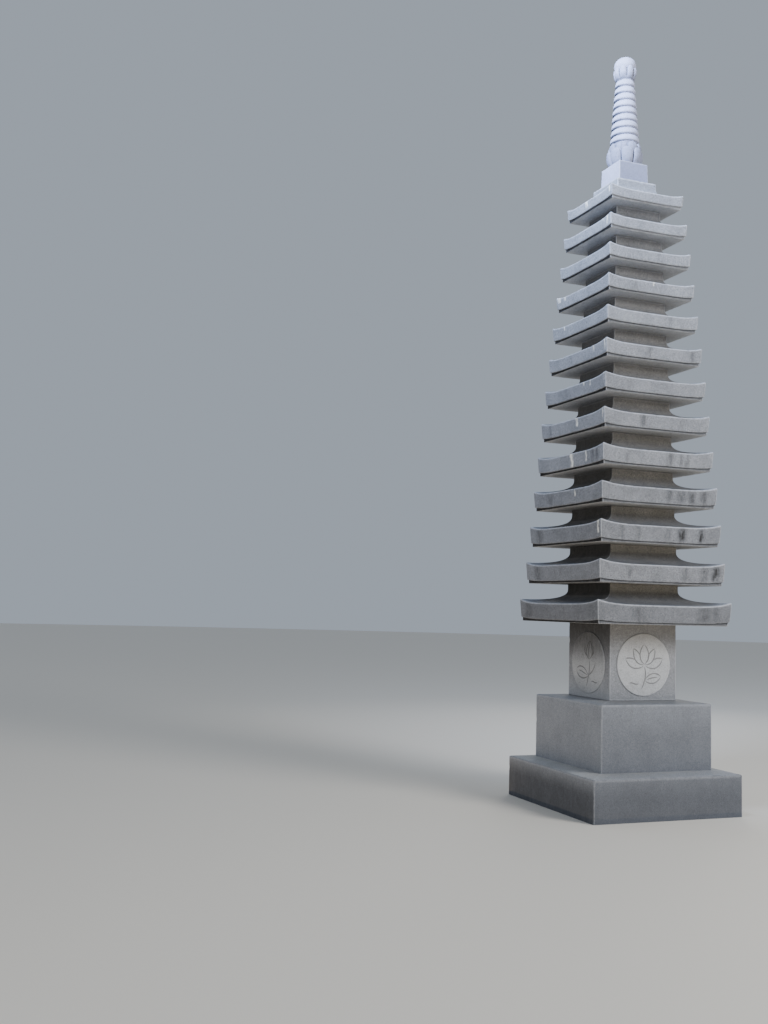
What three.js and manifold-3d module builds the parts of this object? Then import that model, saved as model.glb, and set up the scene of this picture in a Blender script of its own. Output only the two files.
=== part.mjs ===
// Thirteen-storey stone pagoda in grey granite, millimetres, +Z up.
// Origin: centre of the plinth stone's underside. The front face looks along -Y.
// Every stone is a separate solid that stands on the flat top of the one below.

import * as THREE from "three";
import { mergeVertices } from "three/addons/utils/BufferGeometryUtils.js";
import Module from "manifold-3d";

const kernel = await Module();
kernel.setup();

// Base stones
const PLINTH_SIDE = 1300;
const PLINTH_EDGE_TOP = 313;
const PLINTH_CROWN = 18;
const BASE_SIDE = 982;
const BASE_EDGE_TOP = 829;
const BASE_CROWN = 13;
const EDGE_ROUNDING = 10;

// Lowest storey and its moon discs
const BLOCK_SIDE = 602;
const DISC_RADIUS = 240;
const DISC_EDGE_RELIEF = 4;
const DISC_FACE_RELIEF = 9;
const DISC_CROWN = 5;
const DISC_DROP = 18;
const DISC_ROOT = 20;
const DISC_SEGMENTS = 48;

// Roof stones, tier 1 is the lowest; "step" values are the change from one tier to the next
const TIER_COUNT = 13;
const LOWEST_EAVE_SIDE = 1198;
const SECOND_EAVE_SIDE = 1131;
const EAVE_SIDE_STEP = 41;
const EAVE_LEAN = 0.983;
const LOWEST_CORNER_MIDDLE = 1532;
const TIER_SPACING = 308.4;
const TIER_SPACING_LOSS = 2.69;
const LOWEST_CORNER_THICKNESS = 150;
const CORNER_THICKNESS_STEP = 5;
const LOWEST_TOP_RISE = 36;
const TOP_RISE_STEP = 0.9;
const LOWEST_BOTTOM_RISE = 16;
const BOTTOM_RISE_STEP = 0.4;
const SOFFIT_STEP_HEIGHT = 15;
const SOFFIT_STEP_INSET = 9;
const LOWEST_STOREY_SIDE = 624;
const STOREY_SIDE_STEP = 19.3;
const SWEEP_SHARE = 0.72;
const SWEEP_START_SLOPE = 0.08;
const SWEEP_DIVISIONS = 4;
const SEGMENTS_PER_SIDE = 8;
const CORNER_CURVE_POWER = 5;

// Raised seat on the top roof
const SEAT_SIDE = 366;
const SEAT_TOP = 5018;

// Finial
const FINIAL_BLOCK_BOTTOM_SIDE = 276;
const FINIAL_BLOCK_TOP_SIDE = 267;
const FINIAL_BLOCK_TOP = 5192;
const LOTUS_TOP = 5383;
const LOTUS_SEAT_RADIUS = 105;
const PETAL_SEGMENTS = 48;
const PETAL_COUNT = 8;
const RING_COUNT = 9;
const RINGS_TOP = 5935;
const LOWEST_RING_RADIUS = 119;
const HIGHEST_RING_RADIUS = 81;
const RING_GROOVE_DEPTH = 14;
const RING_SHOULDER = 6;
const RING_LOWER_EDGE = 0.12;
const RING_FACE_TOP = 0.4;
const RING_SHOULDER_TOP = 0.82;
const RING_SEGMENTS = 28;
const CUP_TOP = 6045;
const CUP_HOLLOW_RADIUS = 64;
const CUP_HOLLOW_DEPTH = 28;
const JEWEL_TOP = 6150;
const JEWEL_FOOT_RADIUS = 56;
const JEWEL_LOWER_PULL = [112, 0.24];
const JEWEL_UPPER_PULL = [102, 0.86];
const JEWEL_DIVISIONS = 8;
const JEWEL_SEGMENTS = 24;

// Petal outlines, from the foot up: "up" is the height above the foot, "cut" how far the clefts
// between petals go in, "droop" how far they dip, and "offset" turns a row by a share of a petal.
const LOTUS_PETALS = [
  { radius: 124, up: 0 },
  { radius: 139, up: 26, cut: 5 },
  { radius: 148, up: 72, cut: 12 },
  { radius: 149, up: 108, cut: 20 },
  { radius: 141, up: 138, cut: 22, droop: 20 },
  { radius: 116, up: 140, cut: 8, droop: 13 },
  { radius: 119, up: 158, cut: 8, offset: 0.5 },
  { radius: 117, up: 180, cut: 10, droop: 7, offset: 0.5 },
];
const CUP_PETALS = [
  { radius: 70, up: 0 },
  { radius: 84, up: 18, cut: 3 },
  { radius: 93, up: 50, cut: 7 },
  { radius: 96, up: 85, cut: 11, droop: 6 },
  { radius: 91, up: 110, cut: 11, droop: 26 },
];

// Colours of the weathered granite
const EAVE_GREY = 0x9a9ca2;
const BASE_GREY = 0x95979d;
const FINIAL_GREY = 0xb2b6c0;
const STONE_ROUGHNESS = 0.85;

const WELD_DISTANCE = 0.01;

function stone(name, geometry, color) {
  const material = new THREE.MeshStandardMaterial({ color, roughness: STONE_ROUGHNESS, metalness: 0 });
  const mesh = new THREE.Mesh(geometry, material);
  mesh.name = name;
  return mesh;
}

// Turned solid about +Z from [radius, height] pairs that start and end on the axis.
function turned(profile, segments) {
  const points = profile.map(([radius, height]) => new THREE.Vector2(radius, height));
  const geometry = new THREE.LatheGeometry(points, segments);
  geometry.rotateX(Math.PI / 2);
  return geometry;
}

function positionsOnly(geometry) {
  const plain = new THREE.BufferGeometry();
  plain.setAttribute("position", geometry.getAttribute("position"));
  plain.setIndex(geometry.getIndex());
  return mergeVertices(plain, WELD_DISTANCE);
}

function faceted(geometry) {
  const flat = geometry.toNonIndexed();
  flat.computeVertexNormals();
  return flat;
}

// Welds the seam and the points on the axis, and drops the triangles that this closes up.
function welded(geometry) {
  const merged = positionsOnly(geometry);
  const index = merged.getIndex().array;
  const kept = [];
  for (let i = 0; i < index.length; i += 3) {
    const [a, b, c] = [index[i], index[i + 1], index[i + 2]];
    if (a !== b && b !== c && c !== a) {
      kept.push(a, b, c);
    }
  }
  merged.setIndex(kept);
  return merged;
}

// Square solid from level outlines. Each ring is { half, z, rise }: half the side, the
// height at mid-side, and how far the corners turn up above that height.
function squareSolid(rings, segmentsPerSide) {
  const segments = 4 * segmentsPerSide;
  const geometry = turned(rings.map((ring) => [ring.half, ring.z]), segments);
  const position = geometry.getAttribute("position");
  const centre = new THREE.Vector2(0, 0);
  for (let i = 0; i < position.count; i += 1) {
    const ring = rings[i % rings.length];
    const step = Math.floor(i / rings.length) % segments;
    const side = Math.floor(step / segmentsPerSide);
    const along = ((step % segmentsPerSide) / segmentsPerSide) * 2 - 1;
    const spread = Math.sin((along * Math.PI) / 2);
    const turnUp = (ring.rise ?? 0) * Math.abs(spread) ** CORNER_CURVE_POWER;
    const point = new THREE.Vector2(ring.half, ring.half * spread);
    point.rotateAround(centre, (side * Math.PI) / 2);
    position.setXYZ(i, point.x, point.y, ring.z + turnUp);
  }
  return faceted(welded(geometry));
}

// Plinth and base stones: straight sides, a softened top edge and a crowned top with a flat seat.
function crownedSlab(side, seatSide, bottom, edgeTop, crown) {
  const half = side / 2;
  const rings = [
    { half: 0, z: bottom },
    { half, z: bottom },
    { half, z: edgeTop - EDGE_ROUNDING },
    { half: half - EDGE_ROUNDING, z: edgeTop },
    { half: seatSide / 2, z: edgeTop + crown },
    { half: 0, z: edgeTop + crown },
  ];
  return squareSolid(rings, 1);
}

// Sizes of one roof stone, worked out from the lowest.
function tierSizes(tier) {
  const n = tier - 1;
  const eaveSide = tier === 1 ? LOWEST_EAVE_SIDE : SECOND_EAVE_SIDE - EAVE_SIDE_STEP * (tier - 2);
  const middle = LOWEST_CORNER_MIDDLE + TIER_SPACING * n - TIER_SPACING_LOSS * n * n;
  const halfThickness = (LOWEST_CORNER_THICKNESS - CORNER_THICKNESS_STEP * n) / 2;
  const topRise = LOWEST_TOP_RISE - TOP_RISE_STEP * n;
  const bottomRise = LOWEST_BOTTOM_RISE - BOTTOM_RISE_STEP * n;
  const eaveBottom = middle - halfThickness - bottomRise;
  return {
    eaveSide,
    topRise,
    bottomRise,
    eaveBottom,
    eaveTop: middle + halfThickness - topRise,
    soffit: eaveBottom - SOFFIT_STEP_HEIGHT,
    storeySide: LOWEST_STOREY_SIDE - STOREY_SIDE_STEP * n,
  };
}

// Eave slab with turned-up corners, the swept roof above it, and the storey block on top
// that carries the next roof. The highest one ends in a low seat for the finial.
function roofStone(tier) {
  const size = tierSizes(tier);
  const highest = tier === TIER_COUNT;
  const top = highest ? SEAT_TOP : tierSizes(tier + 1).soffit;
  const storeyHalf = (highest ? SEAT_SIDE : size.storeySide) / 2;
  const eaveHalf = size.eaveSide / 2;
  const eaveBottomHalf = eaveHalf * EAVE_LEAN;
  const stepHalf = eaveBottomHalf - SOFFIT_STEP_INSET;
  const overhang = eaveHalf - storeyHalf;
  const sweep = new THREE.QuadraticBezierCurve(
    new THREE.Vector2(eaveHalf, size.eaveTop),
    new THREE.Vector2(storeyHalf, size.eaveTop + overhang * SWEEP_START_SLOPE),
    new THREE.Vector2(storeyHalf, size.eaveTop + (top - size.eaveTop) * SWEEP_SHARE),
  );
  const rings = [
    { half: 0, z: size.soffit },
    { half: stepHalf, z: size.soffit },
    { half: stepHalf, z: size.eaveBottom, rise: size.bottomRise },
    { half: eaveBottomHalf, z: size.eaveBottom, rise: size.bottomRise },
  ];
  sweep.getPoints(SWEEP_DIVISIONS).forEach((point, i) => {
    const fade = (1 - i / SWEEP_DIVISIONS) ** 2;
    rings.push({ half: point.x, z: point.y, rise: size.topRise * fade });
  });
  rings.push({ half: storeyHalf, z: top }, { half: 0, z: top });
  return squareSolid(rings, SEGMENTS_PER_SIDE);
}

function toManifold(geometry) {
  const merged = welded(geometry);
  return new kernel.Manifold(
    new kernel.Mesh({
      numProp: 3,
      vertProperties: new Float32Array(merged.getAttribute("position").array),
      triVerts: new Uint32Array(merged.getIndex().array),
    }),
  );
}

function fromManifold(solid) {
  const mesh = solid.getMesh();
  const geometry = new THREE.BufferGeometry();
  geometry.setAttribute("position", new THREE.BufferAttribute(mesh.vertProperties, 3));
  geometry.setIndex(new THREE.BufferAttribute(mesh.triVerts, 1));
  return faceted(geometry);
}

// Lowest storey: a near cube with a low moon disc on each of its four faces.
function firstStoreyBlock(bottom, top) {
  const box = new THREE.BoxGeometry(BLOCK_SIDE, BLOCK_SIDE, top - bottom);
  box.translate(0, 0, (bottom + top) / 2);
  const discProfile = [
    [0, -DISC_ROOT],
    [DISC_RADIUS, -DISC_ROOT],
    [DISC_RADIUS, DISC_EDGE_RELIEF],
    [DISC_RADIUS - DISC_FACE_RELIEF, DISC_FACE_RELIEF],
    [DISC_RADIUS / 2, DISC_FACE_RELIEF + DISC_CROWN],
    [0, DISC_FACE_RELIEF + DISC_CROWN],
  ];
  let solid = toManifold(box);
  for (let side = 0; side < 4; side += 1) {
    const disc = turned(discProfile, DISC_SEGMENTS);
    disc.rotateX(Math.PI / 2);
    disc.translate(0, -BLOCK_SIDE / 2, (bottom + top) / 2 - DISC_DROP);
    disc.rotateZ((side * Math.PI) / 2);
    solid = solid.add(toManifold(disc));
  }
  return fromManifold(solid);
}

// Square block under the finial, a little narrower at its top.
function finialBlock() {
  const rings = [
    { half: 0, z: SEAT_TOP },
    { half: FINIAL_BLOCK_BOTTOM_SIDE / 2, z: SEAT_TOP },
    { half: FINIAL_BLOCK_TOP_SIDE / 2, z: FINIAL_BLOCK_TOP },
    { half: 0, z: FINIAL_BLOCK_TOP },
  ];
  return squareSolid(rings, 1);
}

// Turned stone whose outline swells into petals, from a foot at the given height to a flat top
// of the given radius and height.
function petalStone(petals, foot, topRadius, top) {
  const levels = [
    { radius: 0, up: 0 },
    ...petals,
    { radius: topRadius, up: top - foot },
    { radius: 0, up: top - foot },
  ];
  const geometry = turned(levels.map((level) => [level.radius, foot + level.up]), PETAL_SEGMENTS);
  const position = geometry.getAttribute("position");
  for (let i = 0; i < position.count; i += 1) {
    const { radius, up, cut = 0, droop = 0, offset = 0 } = levels[i % levels.length];
    if (radius > 0) {
      const angle = (2 * Math.PI * Math.floor(i / levels.length)) / PETAL_SEGMENTS;
      const cleft = 1 - Math.abs(Math.cos((PETAL_COUNT * angle) / 2 + Math.PI * offset));
      const reach = radius - cut * cleft;
      const height = foot + up - droop * cleft;
      position.setXYZ(i, reach * Math.sin(angle), -reach * Math.cos(angle), height);
    }
  }
  return faceted(welded(geometry));
}

// Nine rings cut on one tapering shaft, each widest at its lower edge.
function ringStone() {
  const pitch = (RINGS_TOP - LOTUS_TOP) / RING_COUNT;
  const taper = (LOWEST_RING_RADIUS - HIGHEST_RING_RADIUS) / (RING_COUNT - 1);
  const profile = [[0, LOTUS_TOP]];
  for (let ring = 0; ring < RING_COUNT; ring += 1) {
    const foot = LOTUS_TOP + ring * pitch;
    const radius = LOWEST_RING_RADIUS - ring * taper;
    const groove = radius - RING_GROOVE_DEPTH;
    profile.push(
      [groove, foot],
      [radius, foot + pitch * RING_LOWER_EDGE],
      [radius, foot + pitch * RING_FACE_TOP],
      [radius - RING_SHOULDER, foot + pitch * RING_SHOULDER_TOP],
    );
  }
  profile.push([HIGHEST_RING_RADIUS - RING_GROOVE_DEPTH, RINGS_TOP], [0, RINGS_TOP]);
  return faceted(welded(turned(profile, RING_SEGMENTS)));
}

// Round jewel with a soft point, standing in the hollow of the cup.
function jewelStone() {
  const foot = CUP_TOP - CUP_HOLLOW_DEPTH;
  const height = JEWEL_TOP - foot;
  const outline = new THREE.CubicBezierCurve(
    new THREE.Vector2(JEWEL_FOOT_RADIUS, foot),
    new THREE.Vector2(JEWEL_LOWER_PULL[0], foot + height * JEWEL_LOWER_PULL[1]),
    new THREE.Vector2(JEWEL_UPPER_PULL[0], foot + height * JEWEL_UPPER_PULL[1]),
    new THREE.Vector2(0, JEWEL_TOP),
  );
  const profile = [[0, foot]];
  outline.getPoints(JEWEL_DIVISIONS).forEach((point) => profile.push([point.x, point.y]));
  return faceted(welded(turned(profile, JEWEL_SEGMENTS)));
}

const pagoda = new THREE.Group();
const plinthTop = PLINTH_EDGE_TOP + PLINTH_CROWN;
const baseTop = BASE_EDGE_TOP + BASE_CROWN;
const cupFloor = CUP_TOP - CUP_HOLLOW_DEPTH;
const plinth = crownedSlab(PLINTH_SIDE, BASE_SIDE, 0, PLINTH_EDGE_TOP, PLINTH_CROWN);
const base = crownedSlab(BASE_SIDE, BLOCK_SIDE, plinthTop, BASE_EDGE_TOP, BASE_CROWN);
const lotus = petalStone(LOTUS_PETALS, FINIAL_BLOCK_TOP, LOTUS_SEAT_RADIUS, LOTUS_TOP);
const cup = petalStone(CUP_PETALS, RINGS_TOP, CUP_HOLLOW_RADIUS, cupFloor);
pagoda.add(stone("plinth_stone", plinth, BASE_GREY));
pagoda.add(stone("base_stone", base, BASE_GREY));
pagoda.add(stone("first_storey_block", firstStoreyBlock(baseTop, tierSizes(1).soffit), EAVE_GREY));
for (let tier = 1; tier <= TIER_COUNT; tier += 1) {
  const number = String(tier).padStart(2, "0");
  pagoda.add(stone(`roof_stone_${number}`, roofStone(tier), EAVE_GREY));
}
pagoda.add(stone("finial_block", finialBlock(), FINIAL_GREY));
pagoda.add(stone("finial_lotus", lotus, FINIAL_GREY));
pagoda.add(stone("finial_rings", ringStone(), FINIAL_GREY));
pagoda.add(stone("finial_cup", cup, FINIAL_GREY));
pagoda.add(stone("finial_jewel", jewelStone(), FINIAL_GREY));

export default pagoda;
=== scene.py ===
import math
import random
from collections import namedtuple
from types import SimpleNamespace

import bmesh
import bpy
from bpy.props import FloatProperty, FloatVectorProperty, PointerProperty
from mathutils import Matrix, Vector, noise
from mathutils.geometry import interpolate_bezier, intersect_point_line


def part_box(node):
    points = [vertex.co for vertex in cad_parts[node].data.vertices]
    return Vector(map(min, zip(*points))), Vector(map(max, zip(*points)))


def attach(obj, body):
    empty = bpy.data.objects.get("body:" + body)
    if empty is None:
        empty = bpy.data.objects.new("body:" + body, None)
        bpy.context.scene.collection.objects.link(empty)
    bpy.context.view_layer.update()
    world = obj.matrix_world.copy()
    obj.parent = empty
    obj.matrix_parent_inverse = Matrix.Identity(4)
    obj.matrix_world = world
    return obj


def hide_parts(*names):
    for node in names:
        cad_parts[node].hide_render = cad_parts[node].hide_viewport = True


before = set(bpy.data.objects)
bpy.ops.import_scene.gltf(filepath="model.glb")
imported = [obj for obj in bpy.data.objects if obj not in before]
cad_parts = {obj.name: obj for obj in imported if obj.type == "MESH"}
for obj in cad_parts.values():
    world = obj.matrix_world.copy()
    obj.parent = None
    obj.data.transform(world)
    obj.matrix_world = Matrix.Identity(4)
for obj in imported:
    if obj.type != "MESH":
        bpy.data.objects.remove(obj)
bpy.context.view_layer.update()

bl_info = {
    "name": "Thirteen-storey stone pagoda",
    "version": (1, 0, 0),
    "blender": (4, 5, 0),
    "location": "3D View > Sidebar > Pagoda",
    "description": "Cuts the granite stones of a tall garden pagoda and stacks them",
    "category": "Add Mesh",
}

TIER_COUNT = 13
RING_COUNT = 9
PETAL_COUNT = 8
# Segments around a turned stone that has no petals
PLAIN_SEGMENTS = 96
# Start of the draws for the marks on the faces that the photograph doesn't show
MARK_SEED = 1300

# The height of a turned-up corner follows this power of the place along the side.
CORNER_CURVE_POWER = 5
# How far the points along a side are drawn from its middle towards its corners
CROWDING = 0.25
ARRIS_SEGMENTS = 3
SHARP_ANGLE = math.radians(38)
# Lengths in metres that count as nothing: between two points that merge, a rounding error, a
# sliver between two rows, and how far a point may be from a row of its own
MERGED = 1e-6
EXACT = 1e-5
CLOSE = 1e-4
NEAR = 1e-3
# Distance over which a stain changes at an upright corner
CORNER_BLEND = 0.01

# One level outline of a square stone: half its side, its height at mid-side, how far its corners
# turn up, how much brown film it gets, partly grime where rain can't reach and partly painted
# shade under the eaves, and whether its edge is rounded.
Level = namedtuple("Level", "half height turn_up shelter arris", defaults=(0.0, 0.0, False))

# How dark a slab's open sides are at the edge and at the ground, how dark its shaded sides are at
# the ground, and how pale its top is: painted shade, partly damp at the foot, and painted light on
# the top of the shaded side.
SlabDampAndShade = namedtuple("SlabDampAndShade", "open_top open_foot shaded_foot pale")
PLINTH_DAMP_AND_SHADE = SlabDampAndShade(open_top=0.68, open_foot=0.90, shaded_foot=0.95, pale=1.0)
BASE_DAMP_AND_SHADE = SlabDampAndShade(open_top=0.34, open_foot=0.60, shaded_foot=0.0, pale=0.0)

# Soft square lights: name, where each stands, what it faces, its side in metres, its spread in
# degrees, the setting that holds its power, its share of that power, and its colour
Panel = namedtuple("Panel", "name place aim side spread setting share colour")
PANELS = (
    Panel(
        "rear_fill", (7.0, 9.5, 4.5), (0, 0, 3.2), 4.0, 100, "rear_power", 1.0, (1.0, 0.97, 0.92)
    ),
    Panel(
        "upper_fill", (-2.6, -1.4, 7.0), (0, 0, 6.0), 1.2, 100, "fill_power", 1.0,
        (0.58, 0.72, 1.0),
    ),
    Panel(
        "low_fill", (-9.5, -8.5, 0.8), (0, 0, 3.2), 6.0, 120, "low_power", 1.0, (1.0, 0.90, 0.76)
    ),
    Panel(
        "ground_light", (-0.8, -1.2, 0.03), (-0.8, -1.2, 3.0), 6.0, 180, "bounce_power", 1.0,
        (1.0, 0.80, 0.54),
    ),
    Panel(
        "back_ground_light", (-2.4, 2.6, 0.03), (-2.4, 2.6, 3.0), 4.0, 180, "bounce_power", 0.65,
        (1.0, 0.72, 0.42),
    ),
)

# Dark rain marks on the two eave faces that the photograph shows, by tier and face. Each has its
# place from left to right, its half width and its strength.
RAIN_MARKS = {
    (1, "front"): ((0.30, 0.05, 0.35), (0.79, 0.05, 0.40), (0.88, 0.03, 0.35)),
    (1, "left"): ((0.12, 0.05, 0.45),),
    (2, "front"): ((0.23, 0.02, 0.40), (0.67, 0.02, 0.55), (0.83, 0.03, 0.65), (0.925, 0.03, 1.00)),
    (2, "left"): ((0.17, 0.04, 0.55),),
    (3, "front"): (
        (0.17, 0.02, 0.45), (0.30, 0.02, 0.50), (0.55, 0.02, 0.35),
        (0.665, 0.035, 1.00), (0.83, 0.02, 1.00),
    ),
    (3, "left"): ((0.15, 0.05, 0.50),),
    (4, "front"): ((0.58, 0.03, 0.55), (0.68, 0.04, 0.60), (0.78, 0.04, 0.65), (0.88, 0.04, 0.60)),
    (4, "left"): ((0.26, 0.06, 0.35),),
    (5, "front"): ((0.21, 0.02, 0.30), (0.60, 0.03, 0.55), (0.70, 0.02, 0.60), (0.76, 0.02, 0.55)),
    (5, "left"): ((0.85, 0.02, 0.60), (0.91, 0.02, 0.60)),
    (6, "front"): ((0.36, 0.03, 0.60), (0.73, 0.03, 0.30)),
    (6, "left"): ((0.15, 0.02, 0.55),),
    (7, "front"): ((0.25, 0.03, 0.25), (0.62, 0.04, 0.25)),
    (7, "left"): ((0.37, 0.02, 0.30),),
    (8, "front"): ((0.44, 0.03, 0.55), (0.90, 0.03, 0.45)),
    (8, "left"): ((0.40, 0.02, 0.30),),
    (9, "front"): ((0.69, 0.01, 0.35),),
    (10, "front"): ((0.30, 0.05, 0.25),),
    (11, "front"): ((0.62, 0.05, 0.25),),
    (12, "front"): ((0.40, 0.05, 0.20),),
}

# Painted shade at the foot of each eave face, from the lowest tier up; the lowest tiers stand in
# shade
TIER_SHADE = (0.50, 0.26, 0.34, 0.27, 0.12, 0.10, 0.15, 0.05, 0.0, 0.0, 0.0, 0.0, 0.0)

# White lime runs in the same way, with how far down the face they reach as the last value
LIME_RUNS = {
    (3, "left"): ((0.965, 0.012, 0.9, 0.75),),
    (4, "left"): ((0.63, 0.015, 0.6, 0.55),),
    (5, "left"): ((0.545, 0.030, 1.0, 1.00), (0.76, 0.014, 0.9, 0.75)),
    (6, "left"): ((0.59, 0.018, 1.0, 0.62), (0.975, 0.010, 0.7, 0.80)),
    (7, "left"): ((0.66, 0.012, 0.6, 0.35), (0.975, 0.010, 0.8, 0.85), (0.76, 0.012, 0.6, 0.45)),
    (8, "left"): ((0.970, 0.010, 0.8, 0.90), (0.79, 0.013, 0.8, 0.55)),
    (9, "left"): ((0.23, 0.012, 0.7, 0.40),),
    (10, "front"): ((0.52, 0.012, 0.9, 0.30),),
    (10, "left"): ((0.06, 0.040, 0.8, 0.50), (0.18, 0.030, 0.7, 0.40)),
    (12, "left"): ((0.93, 0.025, 0.8, 0.80), (0.85, 0.012, 0.6, 0.50)),
    (13, "left"): ((0.45, 0.030, 0.9, 0.70), (0.95, 0.020, 0.6, 0.60)),
}

# Incised water-lily sprigs of the moon discs, each stroke a curve through two ends and two
# handles, in shares of the disc's radius.
OPEN_FLOWER = (
    ((0.00, 0.02), (-0.24, 0.16), (-0.20, 0.46), (0.00, 0.66)),
    ((0.00, 0.02), (0.24, 0.16), (0.20, 0.46), (0.00, 0.66)),
    ((-0.13, 0.22), (-0.18, 0.38), (-0.28, 0.46), (-0.40, 0.52)),
    ((-0.02, 0.00), (-0.30, -0.02), (-0.44, 0.22), (-0.40, 0.52)),
    ((0.13, 0.22), (0.18, 0.38), (0.28, 0.46), (0.40, 0.52)),
    ((0.02, 0.00), (0.30, -0.02), (0.44, 0.22), (0.40, 0.52)),
    ((-0.36, 0.16), (-0.46, 0.22), (-0.58, 0.22), (-0.70, 0.20)),
    ((-0.04, -0.04), (-0.30, -0.20), (-0.60, -0.12), (-0.70, 0.20)),
    ((0.36, 0.16), (0.46, 0.22), (0.58, 0.22), (0.70, 0.20)),
    ((0.04, -0.04), (0.30, -0.20), (0.60, -0.12), (0.70, 0.20)),
    ((0.00, -0.06), (0.10, -0.30), (0.02, -0.56), (-0.10, -0.78)),
    ((0.03, -0.50), (0.16, -0.24), (0.48, -0.22), (0.64, -0.38)),
    ((0.03, -0.50), (0.20, -0.66), (0.50, -0.62), (0.64, -0.38)),
    ((0.10, -0.48), (0.24, -0.42), (0.38, -0.40), (0.50, -0.40)),
    ((-0.56, -0.60), (-0.44, -0.52), (-0.34, -0.68), (-0.20, -0.60)),
)
CLOSED_BUD = (
    ((0.12, 0.10), (-0.14, 0.26), (-0.06, 0.52), (0.14, 0.72)),
    ((0.12, 0.10), (0.38, 0.24), (0.34, 0.52), (0.14, 0.72)),
    ((0.12, 0.12), (0.06, 0.32), (0.08, 0.48), (0.14, 0.70)),
    ((0.26, 0.22), (0.40, 0.30), (0.42, 0.42), (0.36, 0.54)),
    ((-0.03, 0.22), (-0.16, 0.30), (-0.18, 0.42), (-0.12, 0.54)),
    ((0.12, 0.08), (0.20, -0.22), (0.06, -0.52), (-0.06, -0.78)),
    ((0.06, -0.44), (-0.10, -0.10), (-0.52, -0.06), (-0.68, -0.26)),
    ((0.06, -0.44), (-0.20, -0.58), (-0.58, -0.56), (-0.68, -0.26)),
    ((0.00, -0.42), (-0.20, -0.34), (-0.36, -0.28), (-0.52, -0.28)),
    ((0.10, -0.40), (0.28, -0.34), (0.42, -0.18), (0.50, 0.02)),
    ((0.24, -0.62), (0.36, -0.54), (0.46, -0.70), (0.60, -0.60)),
)


def box_side(node):
    """Side of a square stone, from the frame."""
    low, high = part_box(node)
    return high.x - low.x


def length(name, description, default):
    """Setting for a length in metres"""
    return FloatProperty(
        name=name, description=description, default=default, min=0.0, unit="LENGTH", precision=4
    )


def tint(name, description, default):
    """Setting for a colour"""
    return FloatVectorProperty(
        name=name, description=description, default=default, size=3, min=0.0, max=1.0,
        subtype="COLOR",
    )


def wattage(name, description, default):
    """Setting for a lamp's power in watts"""
    return FloatProperty(name=name, description=description, default=default, unit="POWER")


def rotation(name, description, degrees):
    """Setting for an angle"""
    return FloatProperty(
        name=name, description=description, default=math.radians(degrees), subtype="ANGLE",
        unit="ROTATION",
    )


class PagodaStoneSizes(bpy.types.PropertyGroup):
    """Sizes of the square stones"""

    plinth_side: length("Plinth side", "Side of the ground stone", box_side("plinth_stone"))
    plinth_edge_top: length("Plinth edge top", "Height of the ground stone's top edge", 0.313)
    base_side: length("Base side", "Side of the second base stone", box_side("base_stone"))
    base_edge_top: length("Base edge top", "Height of the second stone's top edge", 0.829)
    slab_rounding: length("Slab rounding", "Rounding of the base stones' edges", 0.010)
    block_side: length("Block side", "Side of the lowest storey block", 0.602)
    disc_radius: length("Disc radius", "Radius of the raised moon discs", 0.240)
    disc_rim: length("Disc rim", "How far a moon disc's rim stands out", 0.009)
    disc_crown: length("Disc crown", "How much a moon disc swells above its rim", 0.005)
    disc_drop: length("Disc drop", "How far a moon disc sits below the block's middle", 0.018)
    groove_width: length("Groove width", "Width of the incised lines on the discs", 0.010)
    groove_depth: length("Groove depth", "Depth of the incised lines on the discs", 0.0035)
    storey_side: length("Storey side", "Side of the first roof stone's storey block", 0.624)
    storey_side_loss: length("Storey side loss", "How much each storey block is narrower", 0.0193)
    seat_side: length("Seat side", "Side of the raised seat on the highest roof", 0.366)
    corner_middle: length("Corner height", "Height of the first eave corner's middle", 1.532)
    tier_spacing: length("Tier spacing", "Height from the first eave to the second", 0.3084)
    spacing_loss: length("Spacing loss", "Half the loss of that spacing from tier to tier", 0.00269)
    corner_thickness: length("Eave thickness", "Thickness of the first eave at its corner", 0.150)
    thickness_loss: length("Thickness loss", "How much each eave is thinner", 0.005)
    top_rise: length("Top turn-up", "How far the first eave's top edge turns up", 0.036)
    top_rise_loss: length("Top turn-up loss", "How much less each eave turns up", 0.0009)
    bottom_rise: length("Lower turn-up", "How far the first eave's lower edge turns up", 0.016)
    bottom_rise_loss: length("Lower turn-up loss", "How much less each lower edge turns up", 0.0004)
    soffit_step: length("Soffit step", "Height of the step under the eaves", 0.015)
    soffit_inset: length("Soffit inset", "How far that step stands back", 0.009)
    arris: length("Arris", "Rounding of the eave edges", 0.006)
    mesh_spacing: length("Mesh spacing", "Distance between points along an edge", 0.0135)
    eave_lean: FloatProperty(
        name="Eave lean", description="Lower side of an eave over its upper side", default=0.983
    )


class PagodaFinialSizes(bpy.types.PropertyGroup):
    """Sizes of the finial"""

    block_top_side: length("Block top side", "Upper side of the square block", 0.267)
    lotus_foot: length("Lotus foot", "Radius of the lotus at its foot", 0.124)
    lotus_petals: length("Lotus petals", "Height of the lower petals' tips", 0.138)
    ring_radius: length("Lowest ring", "Radius of the lowest ring", 0.119)
    top_ring_radius: length("Highest ring", "Radius of the highest ring", 0.081)
    groove_depth: length("Ring groove", "Depth of the grooves between the rings", 0.014)
    cup_foot: length("Cup foot", "Radius of the cup at its foot", 0.070)
    cup_hollow: length("Cup hollow", "Radius of the hollow that holds the jewel", 0.064)
    cup_depth: length("Cup depth", "Depth of that hollow below the petals' tips", 0.028)
    jewel_foot: length("Jewel foot", "Radius of the jewel at its foot", 0.056)


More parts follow.
